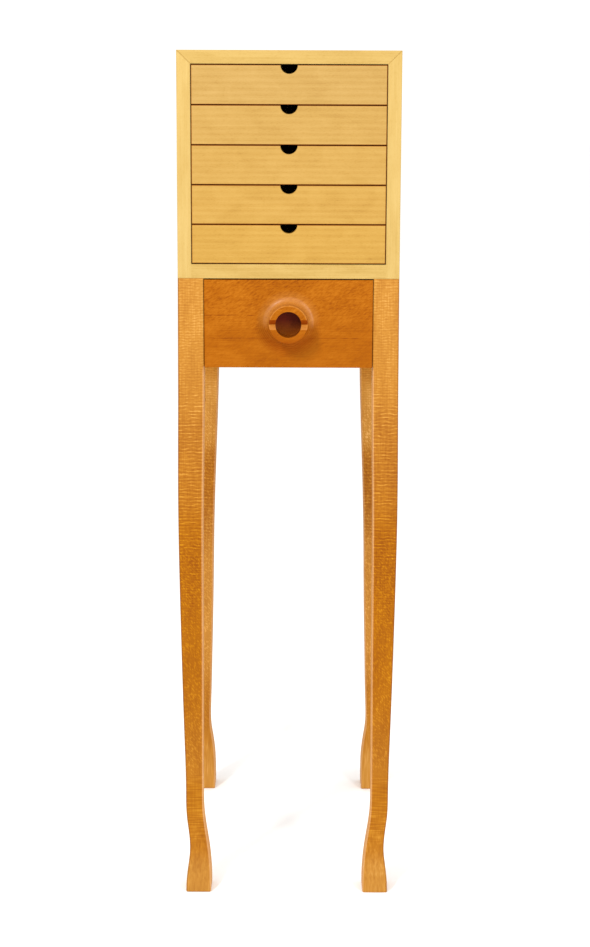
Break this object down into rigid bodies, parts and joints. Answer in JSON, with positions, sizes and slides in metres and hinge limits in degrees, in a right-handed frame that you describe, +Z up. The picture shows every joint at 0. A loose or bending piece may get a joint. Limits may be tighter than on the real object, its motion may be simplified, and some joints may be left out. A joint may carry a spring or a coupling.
{
  "type": "collector's cabinet on stand",
  "caption": "Collector's cabinet: a case of shallow drawers with half-round finger notches, on a tall stand with curved legs and a deep drawer with a carved tubular pull",
  "frame": {"origin": "on the floor, at the centre of the bounding box seen from above", "axes": "Z up, Y to the back (the drawers open towards -Y), X to the viewer's right"},
  "size_m": [0.3444, 0.5236, 1.344],
  "materials": {
    "case_wood": "satin",
    "drawer_wood": "satin",
    "stand_wood": "satin",
    "deep_front_wood": "satin",
    "lining_wood": "matt",
    "runner_wood": "matt",
    "screw_steel": "brushed"
  },
  "bodies": {
    "cabinet": {"case_side_left": "case_wood", "case_side_right": "case_wood", "case_top": "case_wood", "case_floor": "case_wood", "case_back": "lining_wood", "runner_left_1": "runner_wood", "runner_right_1": "runner_wood", "runner_left_2": "runner_wood", "runner_right_2": "runner_wood", "runner_left_3": "runner_wood", "runner_right_3": "runner_wood", "runner_left_4": "runner_wood", "runner_right_4": "runner_wood", "runner_left_5": "runner_wood", "runner_right_5": "runner_wood", "runner_screws": "screw_steel", "leg_front_left": "stand_wood", "leg_front_right": "stand_wood", "leg_rear_left": "stand_wood", "leg_rear_right": "stand_wood", "side_apron_left": "stand_wood", "side_apron_right": "stand_wood", "back_apron": "stand_wood", "upper_front_rail": "stand_wood", "lower_front_rail": "stand_wood", "bearer_left": "runner_wood", "bearer_right": "runner_wood", "kicker_left": "runner_wood", "kicker_right": "runner_wood", "case_screws": "screw_steel"},
    "drawer_1": {"drawer_1_front": "drawer_wood", "drawer_1_side_left": "lining_wood", "drawer_1_side_right": "lining_wood", "drawer_1_back": "lining_wood", "drawer_1_bottom": "lining_wood"},
    "drawer_2": {"drawer_2_front": "drawer_wood", "drawer_2_side_left": "lining_wood", "drawer_2_side_right": "lining_wood", "drawer_2_back": "lining_wood", "drawer_2_bottom": "lining_wood"},
    "drawer_3": {"drawer_3_front": "drawer_wood", "drawer_3_side_left": "lining_wood", "drawer_3_side_right": "lining_wood", "drawer_3_back": "lining_wood", "drawer_3_bottom": "lining_wood"},
    "drawer_4": {"drawer_4_front": "drawer_wood", "drawer_4_side_left": "lining_wood", "drawer_4_side_right": "lining_wood", "drawer_4_back": "lining_wood", "drawer_4_bottom": "lining_wood"},
    "drawer_5": {"drawer_5_front": "drawer_wood", "drawer_5_side_left": "lining_wood", "drawer_5_side_right": "lining_wood", "drawer_5_back": "lining_wood", "drawer_5_bottom": "lining_wood"},
    "deep_drawer": {"deep_drawer_front": "deep_front_wood", "deep_drawer_side_left": "lining_wood", "deep_drawer_side_right": "lining_wood", "deep_drawer_back": "lining_wood", "deep_drawer_bottom": "lining_wood"}
  },
  "joints": [
    {"name": "drawer_1_slide", "type": "slide", "parent": "cabinet", "child": "drawer_1", "axis": [0, -1, 0], "range_m": [0, 0.33]},
    {"name": "drawer_2_slide", "type": "slide", "parent": "cabinet", "child": "drawer_2", "axis": [0, -1, 0], "range_m": [0, 0.33]},
    {"name": "drawer_3_slide", "type": "slide", "parent": "cabinet", "child": "drawer_3", "axis": [0, -1, 0], "range_m": [0, 0.33]},
    {"name": "drawer_4_slide", "type": "slide", "parent": "cabinet", "child": "drawer_4", "axis": [0, -1, 0], "range_m": [0, 0.33]},
    {"name": "drawer_5_slide", "type": "slide", "parent": "cabinet", "child": "drawer_5", "axis": [0, -1, 0], "range_m": [0, 0.33]},
    {"name": "deep_drawer_slide", "type": "slide", "parent": "cabinet", "child": "deep_drawer", "axis": [0, -1, 0], "range_m": [0, 0.32]}
  ]
}
